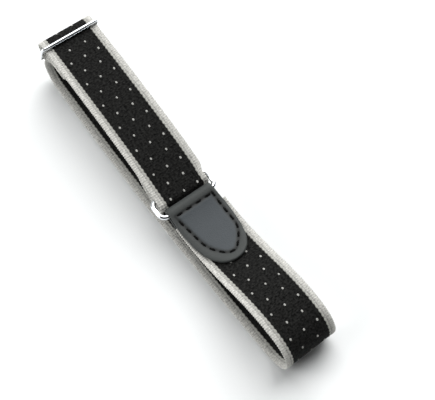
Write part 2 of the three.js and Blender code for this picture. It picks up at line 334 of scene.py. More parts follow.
def bowed(x, y):
    """The loop's bow in plan: the place, and how far the strap is turned there."""
    run = x - PLAN_MIDDLE_X
    turn = 2 * PLAN_BOW * run / PLAN_BOW_AT**2
    return x - y * turn, y + PLAN_BOW * (run / PLAN_BOW_AT) ** 2, turn


class Route:
    """A line in the side view with a strip about it, bowed in plan as the loop lies."""

    def __init__(self, points, drawn=0.0, side=0.0):
        self.points = points
        self.s = np.r_[0, np.cumsum(steps_of(points))]
        self.length = self.s[-1]
        self.drawn, self.side = (part + np.zeros(len(points)) for part in (drawn, side))
        ahead = np.gradient(points, self.s, axis=0)
        self.ahead = ahead / np.linalg.norm(ahead, axis=1)[:, None]

    def at(self, s, across, height):
        """Places, and the directions across the strip and out of its left-hand face."""
        s, across, height = np.broadcast_arrays(s, across, height)
        x, z, ax, az, drawn, side = (
            np.interp(s, self.s, column)
            for column in (*self.points.T, *self.ahead.T, self.drawn, self.side)
        )
        size = np.hypot(ax, az)
        ax, az = ax / size, az / size
        outer = np.clip((across - DRAWN_PART_FROM) / (BAND_WIDTH / 2 - DRAWN_PART_FROM), 0, 1)
        x, y, turn = bowed(x - az * height, across + side - drawn * outer)
        sideways = np.stack([-turn, np.ones_like(x), np.zeros_like(x)], -1)
        out = np.stack([-az, np.zeros_like(ax), ax], -1)
        return np.stack([x, y, z + ax * height], -1), sideways, out


webbing = Route(*webbing_route())
tab = Route(leather_route())


# Meshes and node trees

def make_piece(name, places, faces, material):
    mesh = bpy.data.meshes.new(name)
    metres = (np.asarray(places, float).reshape(-1, 3) + CAD_SHIFT) * MM
    mesh.from_pydata(metres.tolist(), [], faces)
    mesh.shade_smooth()
    mesh.materials.append(material)
    return new_object(name, mesh)


def tube_faces(rows, columns, closed=False):
    """The quads of a grid whose columns close on themselves, with end caps if it is open."""
    i, j = np.meshgrid(np.arange(rows if closed else rows - 1), np.arange(columns), indexing="ij")
    n, k = (i + 1) % rows, (j + 1) % columns
    corners = [i * columns + j, i * columns + k, n * columns + k, n * columns + j]
    faces = np.stack(corners, -1).reshape(-1, 4).tolist()
    if closed:
        return faces
    last = (rows - 1) * columns
    return [*faces, list(range(columns))[::-1], list(range(last, last + columns))]


# The inputs of a Mix node for its two colours, and its output
COLOUR_A, COLOUR_B, MIXED = 6, 7, 2


def add(tree, kind, inputs=(), **settings):
    """Adds a node. An input that is given a socket is linked, and any other value is set."""
    node = tree.nodes.new(kind)
    for name, value in settings.items():
        setattr(node, name, value)
    for key, value in dict(inputs).items():
        if isinstance(value, bpy.types.NodeSocket):
            tree.links.new(value, node.inputs[key])
        else:
            node.inputs[key].default_value = value
    return node


def new_tree(name, **numbers):
    """A Geometry Nodes tree with a named input for each size."""
    tree = bpy.data.node_groups.new(name, "GeometryNodeTree")
    face = tree.interface
    face.new_socket("Geometry", in_out="INPUT", socket_type="NodeSocketGeometry")
    for label, value in numbers.items():
        kind = "NodeSocketInt" if isinstance(value, int) else "NodeSocketFloat"
        face.new_socket(label, in_out="INPUT", socket_type=kind).default_value = value
    face.new_socket("Geometry", in_out="OUTPUT", socket_type="NodeSocketGeometry")
    return tree, add(tree, "NodeGroupInput").outputs


def end_tree(tree, geometry, material):
    real = add(tree, "GeometryNodeRealizeInstances", {0: geometry}).outputs[0]
    done = add(tree, "GeometryNodeSetMaterial", {"Geometry": real, "Material": material})
    add(tree, "NodeGroupOutput", {0: done.outputs[0]})
    return tree


def final_mesh(made):
    """The mesh that an object's modifiers or curve settings make."""
    bpy.context.view_layer.update()
    graph = bpy.context.evaluated_depsgraph_get()
    return bpy.data.meshes.new_from_object(made.evaluated_get(graph))


def grow(piece, tree, **numbers):
    """Runs a node tree on a piece and keeps the result as its plain mesh."""
    modifier = piece.modifiers.new("grow", "NODES")
    modifier.node_group = tree
    for item in tree.interface.items_tree:
        if item.in_out == "INPUT" and item.name in numbers:
            modifier[item.identifier] = numbers[item.name]
    grown = final_mesh(piece)
    piece.modifiers.clear()
    old, piece.data = piece.data, grown
    bpy.data.meshes.remove(old)
    grown.name = piece.name
    grown.shade_smooth()
    return piece


def set_attribute(piece, name, values):
    values = np.asarray(values, np.float32)
    kind, field = ("FLOAT_VECTOR", "vector") if values.ndim > 1 else ("FLOAT", "value")
    data = piece.data.attributes.new(name, kind, "POINT").data
    data.foreach_set(field, values.ravel())


def linear(hex_colour):
    """An sRGB hex colour as linear RGBA."""
    parts = [int(hex_colour[i:i + 2], 16) / 255 for i in (0, 2, 4)]
    return (*(c / 12.92 if c < 0.04045 else ((c + 0.055) / 1.055) ** 2.4 for c in parts), 1)


def new_material(name):
    material = bpy.data.materials.new(name)
    material.use_nodes = True
    material.node_tree.nodes.clear()
    return material, material.node_tree


def end_material(tree, surface):
    shader = add(tree, "ShaderNodeBsdfPrincipled", surface)
    add(tree, "ShaderNodeOutputMaterial", {"Surface": shader.outputs["BSDF"]})


# The woven pattern: rows of dots, ribs, and one border tooth for two ribs

DOT_PITCH = 12.0
RIBS_PER_ROW = 12
RIB_PITCH = DOT_PITCH / RIBS_PER_ROW
TOOTH_PITCH = 2 * RIB_PITCH
BORDER_FROM = 9.3
TOOTH_REACH = 0.12

# A yarn lies across the strap: how thick it is, and how much of it shows between two others
YARN_THICK = 0.25
YARN_SHOWS = 1.1

# The weave's unevenness: single floats of yarn, and broad clouds from the dyeing
MOTTLE_SIZE = 1.0
BLOTCH_SIZE = 6.0

# Half of the webbing's section, thinner towards the edge on its inner face: the place across, the
# heights of the outer and the inner face there, and the share of the ribs' height. The faces meet
# at the edge, which has a place, a height and a share.
SECTION = [
    (0.0, 0.70, -0.70, 0.6), (4.5, 0.70, -0.70, 0.6), (9.1, 0.70, -0.70, 0.6),
    (9.6, 0.76, -0.74, 0.9), (10.05, 0.72, -0.68, 0.7), (10.3, 0.62, -0.56, 0.4),
    (10.55, 0.72, -0.56, 0.7), (11.0, 0.77, -0.48, 1.0), (11.7, 0.76, -0.24, 1.0),
    (12.3, 0.66, 0.1, 0.8),
]
EDGE_ACROSS = BAND_WIDTH / 2
EDGE = (EDGE_ACROSS, 0.42, 0.6)

# How light the border is at places across: inner strip, groove and outer strip
BORDER_TONES = [
    (BORDER_FROM, 0.72), (10.0, 0.8), (10.3, 0.6), (10.6, 0.95), (11.6, 1.0), (EDGE_ACROSS, 1.0),
]

# Rows of dots and how far along the webbing they lie, as it is stretched unevenly
ROW_PLACES = np.array([
    (-4, -15.6), (19, 257.4), (20.5, 276.4), (21, 281.0), (22, 293.0), (38, 487.0),
])


def place_of_row(row):
    return np.interp(row, *ROW_PLACES.T)


START_ROW, END_ROW = np.interp([0, webbing.length], *ROW_PLACES.T[::-1])


# Materials, and the sizes of their patterns. The grain is drawn as coarse as it needs to show.

FIBRE_SIZE = 0.3
LIGHTER_FIBRES = 1.25
GRAIN_SIZE = 0.55
LEATHER_CLOUD_SIZE = 6.0
BUFFING_SIZE = 3.0
PAPER_CLOUD_SIZE = 40.0


def woven_elastic():
    """Polyester yarns woven over rubber: matt, ribbed across, black between cream borders.
    Each border has a plain outer strip, a groove and an inner strip, which starts in teeth."""
    material, tree = new_material("woven_polyester_elastic")
    along_mm = add(tree, "ShaderNodeAttribute", attribute_name="along").outputs["Fac"]
    across_mm = add(tree, "ShaderNodeAttribute", attribute_name="across").outputs["Fac"]
    side = add(tree, "ShaderNodeMath", {0: across_mm}, operation="ABSOLUTE").outputs[0]
    place = add(tree, "ShaderNodeCombineXYZ", {"X": along_mm, "Y": across_mm}).outputs[0]

    # How far a place belongs to the border, which starts in a wave
    tooth_wave, rib_wave = (
        add(tree, "ShaderNodeMath", {0: phase.outputs[0]}, operation="COSINE").outputs[0]
        for phase in (
            add(tree, "ShaderNodeMath", {0: along_mm, 1: math.tau / pitch}, operation="MULTIPLY")
            for pitch in (TOOTH_PITCH, RIB_PITCH)
        )
    )
    tooth = {0: tooth_wave, 1: TOOTH_REACH, 2: side}
    reach = add(tree, "ShaderNodeMath", tooth, operation="MULTIPLY_ADD").outputs[0]
    edge = {
        "Value": reach, "From Min": BORDER_FROM - YARN_THICK, "From Max": BORDER_FROM + YARN_THICK,
    }
    border = add(tree, "ShaderNodeMapRange", edge).outputs["Result"]

    # The yarns that lie across, and the unevenness of the weave
    stretched = {0: place, 1: (1 / YARN_THICK, 1 / YARN_SHOWS, 1)}
    yarn_place = add(tree, "ShaderNodeVectorMath", stretched, operation="MULTIPLY").outputs[0]
    yarn_noise = {"Vector": yarn_place, "Scale": 1.0, "Detail": 2.0}
    yarn = add(tree, "ShaderNodeTexNoise", yarn_noise).outputs["Fac"]
    mottle, blotch = (
        add(tree, "ShaderNodeTexNoise", {"Vector": place, "Scale": 1 / size}).outputs["Fac"]
        for size in (MOTTLE_SIZE, BLOTCH_SIZE)
    )

    # How light the border is: its strips, painted shade in the hollows between the ribs, and its
    # yarns
    across_border = {"Value": side, "From Min": BORDER_FROM, "From Max": EDGE_ACROSS}
    border_place = add(tree, "ShaderNodeMapRange", across_border).outputs["Result"]
    tones = add(tree, "ShaderNodeValToRGB", {"Fac": border_place})
    stops = tones.color_ramp.elements
    for across, _ in BORDER_TONES[1:-1]:
        stops.new((across - BORDER_FROM) / (EDGE_ACROSS - BORDER_FROM))
    for stop, (_, share) in zip(stops, BORDER_TONES):
        stop.color = (share, share, share, 1)
    # Painted shade: the cream is darker in the hollows between the ribs
    between = {"Value": rib_wave, "From Min": -1.0, "To Min": 0.8, "To Max": 1.0}
    painted_rib_hollow_shade = add(tree, "ShaderNodeMapRange", between).outputs["Result"]
    yarns = {0: yarn, 1: mottle}
    mixed = add(tree, "ShaderNodeMath", yarns, operation="ADD").outputs[0]
    uneven = {"Value": mixed, "From Min": 0.7, "From Max": 1.3, "To Min": 0.6, "To Max": 1.18}
    yarn_shade = add(tree, "ShaderNodeMapRange", uneven).outputs["Result"]
    painted_shade_and_yarn_parts = {0: painted_rib_hollow_shade, 1: yarn_shade}
    painted_shade_and_yarns = add(tree, "ShaderNodeMath", painted_shade_and_yarn_parts, operation="MULTIPLY").outputs[0]
    woven = {0: tones.outputs["Color"], "Scale": painted_shade_and_yarns}
    border_tones_and_painted_shade = add(tree, "ShaderNodeVectorMath", woven, operation="SCALE").outputs[0]

    # The two colours
    worn = {"Value": mixed, "From Min": 0.78, "From Max": 1.22}
    black_share = add(tree, "ShaderNodeMapRange", worn).outputs["Result"]
    blacks = {0: black_share, COLOUR_A: linear("020202"), COLOUR_B: linear("272726")}
    black = add(tree, "ShaderNodeMix", blacks, data_type="RGBA").outputs[MIXED]
    dyes = {0: blotch, COLOUR_A: linear("cdccc6"), COLOUR_B: linear("d9d8d3")}
    dye = add(tree, "ShaderNodeMix", dyes, data_type="RGBA").outputs[MIXED]
    shaded = {0: dye, 1: border_tones_and_painted_shade}
    cream = add(tree, "ShaderNodeVectorMath", shaded, operation="MULTIPLY").outputs[0]
    both = {0: border, COLOUR_A: black, COLOUR_B: cream}
    colour = add(tree, "ShaderNodeMix", both, data_type="RGBA").outputs[MIXED]

    bump = {"Height": yarn, "Strength": 0.6, "Distance": 0.15 * MM}
    normal = add(tree, "ShaderNodeBump", bump).outputs["Normal"]
    end_material(tree, {
        "Base Color": colour, "Normal": normal, "Roughness": 0.85, "Specular IOR Level": 0.08,
    })
    return material


def plain_yarn(name, hex_colour, roughness, specular):
    """Polyester yarn of one colour, with the slight unevenness of a twisted thread."""
    material, tree = new_material(name)
    place = add(tree, "ShaderNodeTexCoord").outputs["Object"]
    noise = {"Vector": place, "Scale": 1 / (FIBRE_SIZE * MM), "Detail": 2.0}
    fibre = add(tree, "ShaderNodeTexNoise", noise).outputs["Fac"]
    dark = linear(hex_colour)
    light = (*(LIGHTER_FIBRES * part for part in dark[:3]), 1)
    mixed = {0: fibre, COLOUR_A: dark, COLOUR_B: light}
    colour = add(tree, "ShaderNodeMix", mixed, data_type="RGBA").outputs[MIXED]
    bump = {"Height": fibre, "Strength": 0.5, "Distance": 0.05 * MM}
    normal = add(tree, "ShaderNodeBump", bump).outputs["Normal"]
    end_material(tree, {
        "Base Color": colour, "Normal": normal, "Roughness": roughness,
        "Specular IOR Level": specular,
    })
    return material


def smooth_leather():
    """Corrected-grain leather, dyed charcoal: a fine even grain with a soft low gloss."""
    material, tree = new_material("charcoal_leather")
    place = add(tree, "ShaderNodeTexCoord").outputs["Object"]
    cells = {"Vector": place, "Scale": 1 / (GRAIN_SIZE * MM)}
    grain = add(tree, "ShaderNodeTexVoronoi", cells).outputs["Distance"]
    clouds = {"Vector": place, "Scale": 1 / (LEATHER_CLOUD_SIZE * MM), "Detail": 3.0}
    cloud = add(tree, "ShaderNodeTexNoise", clouds).outputs["Fac"]
    raised, darker_at_stitches = (
        add(tree, "ShaderNodeAttribute", attribute_name=name).outputs["Fac"]
        for name in ("raised", "darker_at_stitches")
    )
    rims = {0: cloud, COLOUR_A: linear("343736"), COLOUR_B: linear("3d403f")}
    rim = add(tree, "ShaderNodeMix", rims, data_type="RGBA").outputs[MIXED]
    panels = {0: cloud, COLOUR_A: linear("3b4043"), COLOUR_B: linear("41464a")}
    panel = add(tree, "ShaderNodeMix", panels, data_type="RGBA").outputs[MIXED]
    greys = {0: raised, COLOUR_A: rim, COLOUR_B: panel}
    grey = add(tree, "ShaderNodeMix", greys, data_type="RGBA").outputs[MIXED]
    # Darker in colour along the stitches' groove and at their holes
    darker = {0: darker_at_stitches, COLOUR_A: grey, COLOUR_B: linear("121313")}
    colour = add(tree, "ShaderNodeMix", darker, data_type="RGBA").outputs[MIXED]
    bump = {"Height": grain, "Strength": 0.6, "Distance": 0.1 * MM}
    normal = add(tree, "ShaderNodeBump", bump).outputs["Normal"]
    end_material(tree, {
        "Base Color": colour, "Normal": normal, "Roughness": 0.6, "Specular IOR Level": 0.3,
    })
    return material


def chrome_plate():
    """Polished chrome over steel: a clear mirror, very slightly uneven from buffing."""
    material, tree = new_material("chrome_plated_steel")
    place = add(tree, "ShaderNodeTexCoord").outputs["Object"]
    noise = {"Vector": place, "Scale": 1 / (BUFFING_SIZE * MM), "Detail": 2.0}
    buffing = add(tree, "ShaderNodeTexNoise", noise).outputs["Fac"]
    gloss = {"Value": buffing, "To Min": 0.05, "To Max": 0.12}
    roughness = add(tree, "ShaderNodeMapRange", gloss).outputs["Result"]
    end_material(tree, {
        "Base Color": linear("e4e7ea"), "Roughness": roughness, "Metallic": 1.0,
    })
    return material


elastic = woven_elastic()
cream_yarn = plain_yarn("cream_polyester_yarn", "acaca5", roughness=0.8, specular=0.2)
dot_yarn = plain_yarn("white_polyester_yarn", "aaaaa6", roughness=0.8, specular=0.2)
black_thread = plain_yarn("black_polyester_thread", "060606", roughness=0.7, specular=0.1)
leather = smooth_leather()
chrome = chrome_plate()


# Elastic webbing: its ribs are raised, and scallop the edge past a place across

RIB_HEIGHT = 0.08
STEPS_PER_RIB = 5
SCALLOP = 0.07
SCALLOP_FROM = 12.0


def rib_tree():
    """Raises a surface in ribs by its attributes: where it is along, and its share of them."""
    tree, given = new_tree("woven_ribs", Pitch=1.0, Height=0.1 * MM)
    along_mm, ribbed = (
        add(tree, "GeometryNodeInputNamedAttribute", {"Name": name}).outputs[0]
        for name in ("along", "ribbed")
    )
    normal = add(tree, "GeometryNodeInputNormal").outputs[0]
    turn = {0: math.tau, 1: given["Pitch"]}
    turns = add(tree, "ShaderNodeMath", turn, operation="DIVIDE").outputs[0]
    angle = {0: along_mm, 1: turns}
    phase = add(tree, "ShaderNodeMath", angle, operation="MULTIPLY").outputs[0]
    wave = add(tree, "ShaderNodeMath", {0: phase}, operation="COSINE").outputs[0]
    full = {0: wave, 1: given["Height"]}
    height = add(tree, "ShaderNodeMath", full, operation="MULTIPLY").outputs[0]
    share = {0: height, 1: ribbed}
    rise = add(tree, "ShaderNodeMath", share, operation="MULTIPLY").outputs[0]
    lift = {0: normal, "Scale": rise}
    offset = add(tree, "ShaderNodeVectorMath", lift, operation="SCALE").outputs[0]
    moved = {"Geometry": given["Geometry"], "Offset": offset}
    return end_tree(tree, add(tree, "GeometryNodeSetPosition", moved).outputs[0], elastic)


def make_webbing():
    """The webbing's section, a closed ring of points, carried along its route."""
    both = [*SECTION[:0:-1], *[(-across, *rest) for across, *rest in SECTION]]
    top = [(across, outer, share) for across, outer, _, share in both]
    under = [(across, inner, share) for across, _, inner, share in reversed(both)]
    ring = np.array([EDGE, *top, (-EDGE_ACROSS, *EDGE[1:]), *under])
    steps = round((END_ROW - START_ROW) * RIBS_PER_ROW * STEPS_PER_RIB)
    row = np.linspace(START_ROW, END_ROW, steps + 1)
    ribs = np.cos(math.tau * row * RIBS_PER_ROW)[:, None]
    at_edge = np.sign(ring[:, 0]) * (np.abs(ring[:, 0]) > SCALLOP_FROM)
    across = ring[:, 0] + SCALLOP * ribs * at_edge
    places, _, _ = webbing.at(place_of_row(row)[:, None], across, ring[:, 1])
    rows, columns = places.shape[:2]
    piece = make_piece("elastic_webbing", places, tube_faces(rows, columns), elastic)
    set_attribute(piece, "along", np.repeat(row * DOT_PITCH, columns))
    set_attribute(piece, "across", np.tile(ring[:, 0], rows))
    set_attribute(piece, "ribbed", np.tile(ring[:, 2], rows))
    return grow(piece, rib_tree(), Pitch=RIB_PITCH, Height=RIB_HEIGHT * MM)


# Yarns and threads, laid on points that carry the directions "lie" and "out" and a "size"

def laid_on_points(tree, points, thing):
    lie, out = (
        add(tree, "GeometryNodeInputNamedAttribute", {"Name": name}, data_type="FLOAT_VECTOR")
        for name in ("lie", "out")
    )
    size = add(tree, "GeometryNodeInputNamedAttribute", {"Name": "size"}).outputs[0]
    axes = {0: lie.outputs[0], 1: out.outputs[0]}
    turn = add(tree, "FunctionNodeAxesToRotation", axes, primary_axis="X", secondary_axis="Z")
    spots = {"Points": points, "Instance": thing, "Rotation": turn.outputs[0], "Scale": size}
    return add(tree, "GeometryNodeInstanceOnPoints", spots).outputs[0]


def float_tree(material):
    """Short yarns side by side, the outer ones a little shorter."""
    tree, given = new_tree(
        "yarn_floats", Length=1.0 * MM, Width=0.4 * MM, Height=0.3 * MM, Spacing=0.4 * MM,
        Taper=0.1, Yarns=3,
    )
    ball = {"Segments": 8, "Rings": 5, "Radius": 0.5}
    round_yarn = add(tree, "GeometryNodeMeshUVSphere", ball).outputs["Mesh"]
    sizes = {"X": given["Length"], "Y": given["Width"], "Z": given["Height"]}
    scale = add(tree, "ShaderNodeCombineXYZ", sizes).outputs[0]
    shaped = {"Geometry": round_yarn, "Scale": scale}
    yarn = add(tree, "GeometryNodeTransform", shaped).outputs[0]

    gaps = {0: given["Yarns"], 1: 1.0}
    last = add(tree, "ShaderNodeMath", gaps, operation="SUBTRACT").outputs[0]
    middle = add(tree, "ShaderNodeMath", {0: last, 1: -0.5}, operation="MULTIPLY").outputs[0]
    behind = {0: middle, 1: given["Spacing"]}
    back = add(tree, "ShaderNodeMath", behind, operation="MULTIPLY").outputs[0]
    start = add(tree, "ShaderNodeCombineXYZ", {"Y": back}).outputs[0]
    step = add(tree, "ShaderNodeCombineXYZ", {"Y": given["Spacing"]}).outputs[0]
    row = {"Count": given["Yarns"], "Start Location": start, "Offset": step}
    line = add(tree, "GeometryNodeMeshLine", row).outputs[0]

    index = add(tree, "GeometryNodeInputIndex").outputs[0]
    off = add(tree, "ShaderNodeMath", {0: index, 1: middle}, operation="ADD").outputs[0]
    far = add(tree, "ShaderNodeMath", {0: off}, operation="ABSOLUTE").outputs[0]
    shorter = {0: far, 1: given["Taper"]}
    cut = add(tree, "ShaderNodeMath", shorter, operation="MULTIPLY").outputs[0]
    kept = add(tree, "ShaderNodeMath", {0: 1.0, 1: cut}, operation="SUBTRACT").outputs[0]
    shares = add(tree, "ShaderNodeCombineXYZ", {"X": kept, "Y": 1.0, "Z": 1.0}).outputs[0]
    laid = {"Points": line, "Instance": yarn, "Scale": shares}
    group = add(tree, "GeometryNodeInstanceOnPoints", laid).outputs[0]
    return end_tree(tree, laid_on_points(tree, given["Geometry"], group), material)


# A thread's plies, with their radius and their distance from its middle as shares of its width
PLIES = 3
PLY_RADIUS = 0.27
PLY_REACH = 0.5 - PLY_RADIUS
PLY_SIDES = 7
THREAD_STEPS = 16


def stitch_tree(material):
    """A thread of three twisted plies, up out of one hole, flat over and down the next."""
    tree, given = new_tree(
        "stitches", Length=2.0 * MM, Width=0.8 * MM, Rise=0.3 * MM, Depth=0.4 * MM, Twist=5.0,
    )
    half, back, down, ply_radius, ply_reach = (
        add(tree, "ShaderNodeMath", {0: given[size], 1: share}, operation="MULTIPLY").outputs[0]
        for size, share in (
            ("Length", 0.5), ("Length", -0.5), ("Depth", -1.0), ("Width", PLY_RADIUS),
            ("Width", PLY_REACH),
        )
    )
    corners = [
        add(tree, "ShaderNodeCombineXYZ", {"X": x, "Z": z}).outputs[0]
        for x, z in ((back, down), (back, given["Rise"]), (half, given["Rise"]), (half, down))
    ]
    path = dict(zip(("Start", "Start Handle", "End Handle", "End"), corners))
    path["Resolution"] = THREAD_STEPS
    bent = add(tree, "GeometryNodeCurvePrimitiveBezierSegment", path).outputs[0]
    part = add(tree, "GeometryNodeSplineParameter").outputs["Factor"]
    winding = {0: part, 1: given["Twist"]}
    tilt = add(tree, "ShaderNodeMath", winding, operation="MULTIPLY").outputs[0]
    wound = add(tree, "GeometryNodeSetCurveTilt", {"Curve": bent, "Tilt": tilt}).outputs[0]
    spread = {"Resolution": PLIES, "Radius": ply_reach}
    centres = add(tree, "GeometryNodeCurvePrimitiveCircle", spread).outputs["Curve"]
    round_ply = {"Resolution": PLY_SIDES, "Radius": ply_radius}
    ply = add(tree, "GeometryNodeCurvePrimitiveCircle", round_ply).outputs["Curve"]
    side_by_side = {"Points": centres, "Instance": ply}
    plies = add(tree, "GeometryNodeInstanceOnPoints", side_by_side).outputs[0]
    section = add(tree, "GeometryNodeRealizeInstances", {0: plies}).outputs[0]
    drawn = {"Curve": wound, "Profile Curve": section, "Fill Caps": True}
    thread = add(tree, "GeometryNodeCurveToMesh", drawn).outputs[0]
    return end_tree(tree, laid_on_points(tree, given["Geometry"], thread), material)


def scatter(name, places, lie, out, tree, material, spread, **sizes):
    """A piece grown on points, each a little larger or smaller by at most the spread. The number
    of points is the seed."""
    places, lie, out = (np.asarray(rows, float).reshape(-1, 3) for rows in (places, lie, out))
    piece = make_piece(name, places, [], material)
    set_attribute(piece, "lie", lie)
    set_attribute(piece, "out", out)
    random = np.random.default_rng(len(places))
    set_attribute(piece, "size", random.uniform(1 - spread, 1 + spread, len(places)))
    return grow(piece, tree, **sizes)


def on_both_faces(s, across, lift):
    """Places, the direction across and the way out, on the upper and the under face."""
    rows = []
    for face in (1, -1):
        place, sideways, out = webbing.at(s, across, face * lift)
        rows.append((place, sideways, out * face))
    return (np.vstack(part) for part in zip(*rows))


# Dots lie in five lines, each at a place across. The second and the fourth line across are half
# a pitch behind the others.
DOT_LINES = [(0.0, 0.0), (6.7, 0.0), (-6.7, 0.0), (3.8, 0.5), (-3.8, 0.5)]
DOT_LIFT = 0.74
DOTS_CLEAR_OF_END = 0.6
TOOTH_AT = 9.55
TOOTH_LIFT = 0.76


def make_dots():
    spots = [
        (place_of_row(row + behind), across)
        for across, behind in DOT_LINES
        for row in range(math.ceil(START_ROW), math.floor(END_ROW) + 1)
    ]
    last = webbing.length - DOTS_CLEAR_OF_END
    spots = [spot for spot in spots if DOTS_CLEAR_OF_END < spot[0] < last]
    places = on_both_faces(*np.array(spots, float).T, DOT_LIFT)
    return scatter(
        "pin_dots", *places, float_tree(dot_yarn), dot_yarn, spread=0.08,
        Length=1.0 * MM, Width=0.40 * MM, Height=0.26 * MM, Spacing=0.32 * MM, Taper=0.22,
    )


def make_teeth():
    per_row = round(DOT_PITCH / TOOTH_PITCH)
    first, last = math.ceil(START_ROW * per_row), math.floor(END_ROW * per_row)
    spots = [
        (place_of_row(tooth / per_row), side * TOOTH_AT)
        for side in (1, -1)
        for tooth in range(first, last + 1)
    ]
    places = on_both_faces(*np.array(spots, float).T, TOOTH_LIFT)
    return scatter(
        "border_teeth", *places, float_tree(cream_yarn), cream_yarn, spread=0.06,
        Length=0.85 * MM, Width=0.44 * MM, Height=0.24 * MM, Spacing=0.42 * MM, Taper=0.15,
    )


# Leather tab. Its length counts from the outside of its fold.

TAB_TIP = RING_BAR_X + TAB_LENGTH - (RING_WIRE / 2 + GAP + LEATHER_THICK)
TAB_STEPS = 300
TAB_COLUMNS = 45
TIP_STEPS = 60

# The line of stitches seen from above, from the fold on the far side round the tip and back
STITCH_LINE = [
    (91.3, 8.6), (98, 8.6), (107, 8.5), (111, 7.1), (114.5, 4.5), (117.3, 1.2),
    (116.8, -2.2), (113.5, -5.1), (110, -7.0), (106, -8.0), (100, -8.7), (91.3, -10.0),
]
STITCH_PITCH = 4.2
STITCH_PHASE = 0.15
STITCH_LONG = 2.1
STITCH_WIDTH = 1.1

# The leather's relief: a rim that drops to a round edge, a groove pressed along the stitches and
# made darker in colour, their holes, also darker, and the raised panel inside
EDGE_ROUND = 0.6
RIM_DROP, RIM_DROP_WITHIN = 0.2, 1.6
GROOVE_DEPTH, GROOVE_HALF_WIDTH, GROOVE_DARKER = 0.16, 0.7, 0.9
HOLE_DEPTH, HOLE_RADIUS = 0.2, 0.45
RAISED, RAISED_WITHIN = 0.16, 1.6


def tab_outline():
    """The tab's plan, from the far side of the fold round the tip to the near side."""
    from_x = RING_BAR_X + TAB_STRAIGHT
    fold = [[0, TAB_FOLD_HALF_WIDTH], [RING_BAR_X, TAB_FOLD_HALF_WIDTH]]
    curve = np.array([
        (from_x, TAB_HALF_WIDTH), (from_x + TIP_REACH, TAB_HALF_WIDTH),
        (TAB_TIP, TIP_FULLNESS * TAB_HALF_WIDTH), (TAB_TIP, 0),
    ])
    far = np.vstack([fold, bezier(*curve, TIP_STEPS)])
    return far, np.vstack([far, far[-2::-1] * [1, -1]]) + [0, TAB_SIDE]


def distance_to(line, x, y):
    """How far places in plan are from a line of points."""
    least = np.full(x.shape, np.inf)
    for (ax, ay), (bx, by) in zip(line, line[1:]):
        size = (bx - ax) ** 2 + (by - ay) ** 2
        t = np.clip(((x - ax) * (bx - ax) + (y - ay) * (by - ay)) / size, 0, 1)
        least = np.minimum(least, np.hypot(x - ax - t * (bx - ax), y - ay - t * (by - ay)))
    return least


def inside(line, x, y):
    """Whether places in plan are inside a closed line, from the sides that a ray crosses."""
    crossed = np.zeros(x.shape, bool)
    for (ax, ay), (bx, by) in zip(line, np.roll(line, -1, axis=0)):
        if ay != by:
            passes = (ay > y) != (by > y)
            crossed ^= passes & (x < ax + (y - ay) / (by - ay) * (bx - ax))
    return crossed


stitch_curve = smooth_line(STITCH_LINE, samples=20)


def evenly_along(line, pitch, phase=0.5):
    """Places at an even pitch along a line, and the way that it runs nearby."""
    nearby = 0.5
    s = np.r_[0, np.cumsum(steps_of(line))]
    count = round(s[-1] / pitch)
    at = (np.arange(count) + phase) * s[-1] / count
    place, before, after = (
        np.stack([np.interp(at + step, s, column) for column in line.T], -1)
        for step in (0, -nearby, nearby)
    )
    way = after - before
    return place, way / np.linalg.norm(way, axis=1)[:, None]


round_tip = evenly_along(stitch_curve, STITCH_PITCH, STITCH_PHASE)
across_fold = evenly_along(stitch_curve[[-1, 0]], STITCH_PITCH)
stitch_places, stitch_ways = (np.vstack(parts) for parts in zip(round_tip, across_fold))


def tab_relief(x, y):
    """Heights of the leather's outer face, and the shares of each place that are raised panel and
    that are darker in colour along the groove and at the stitches' holes."""
    closed = np.vstack([stitch_curve, stitch_curve[:1]])
    from_stitches = distance_to(closed, x, y)
    raised = rounded_step(from_stitches, RAISED_WITHIN) * inside(stitch_curve, x, y)
    groove = np.exp(-(from_stitches / GROOVE_HALF_WIDTH) ** 2)
    holes = np.zeros(x.shape)
    for (px, py), (wx, wy) in zip(stitch_places, stitch_ways):
        for end in (-0.5, 0.5):
            hx, hy = px + wx * end * STITCH_LONG, py + wy * end * STITCH_LONG
            near = np.exp(-((x - hx) ** 2 + (y - hy) ** 2) / HOLE_RADIUS**2)
            holes = np.maximum(holes, near)
    relief = RAISED * raised - GROOVE_DEPTH * groove - HOLE_DEPTH * holes
    return relief, raised, np.maximum(GROOVE_DARKER * groove, holes)


def on_both_layers(x):
    """How far along the leather its lower and its upper layer pass a place along X."""
    x_of = tab.points[:, 0]
    fold = int(np.argmin(x_of))
    lower = np.interp(-x, -x_of[:fold], tab.s[:fold])
    return lower, np.interp(x, x_of[fold:], tab.s[fold:])


def make_tab():
    """The leather, with its rows and columns closer together towards its edges."""
    half_line, outline = tab_outline()
    from_s, to_s = on_both_layers(TAB_TIP)
    turn = np.sin(np.linspace(DOWN, UP, TAB_STEPS + 2)[1:-1])
    s = (from_s + to_s) / 2 + (to_s - from_s) / 2 * turn
    x = np.interp(s, tab.s, tab.points[:, 0])
    half = np.interp(x, *half_line.T)
    spread = np.sin(np.linspace(UP, DOWN, TAB_COLUMNS))
    y = half[:, None] * spread + TAB_SIDE
    x = np.broadcast_to(x[:, None], y.shape)
    from_edge = distance_to(outline, x, y)
    body = LEATHER_THICK / 2 * np.sqrt(1 - (1 - np.clip(from_edge / EDGE_ROUND, 0, 1)) ** 2)
    relief, raised, darker_at_stitches = tab_relief(x, y)
    drop = RIM_DROP * (1 - rounded_step(from_edge, RIM_DROP_WITHIN))
    flat = rounded_step(from_edge, EDGE_ROUND)
    outer, inner = body + relief * flat - drop, -body - drop
    heights = np.hstack([outer, inner[:, -2:0:-1]])
    across = np.hstack([y, y[:, -2:0:-1]])
    places, _, _ = tab.at(s[:, None], across, heights)
    rows, columns = heights.shape
    piece = make_piece("tab_leather", places, tube_faces(rows, columns), leather)
    for name, share in (("raised", raised), ("darker_at_stitches", darker_at_stitches)):
        set_attribute(piece, name, np.hstack([share, share[:, -2:0:-1]]).ravel())
    return piece


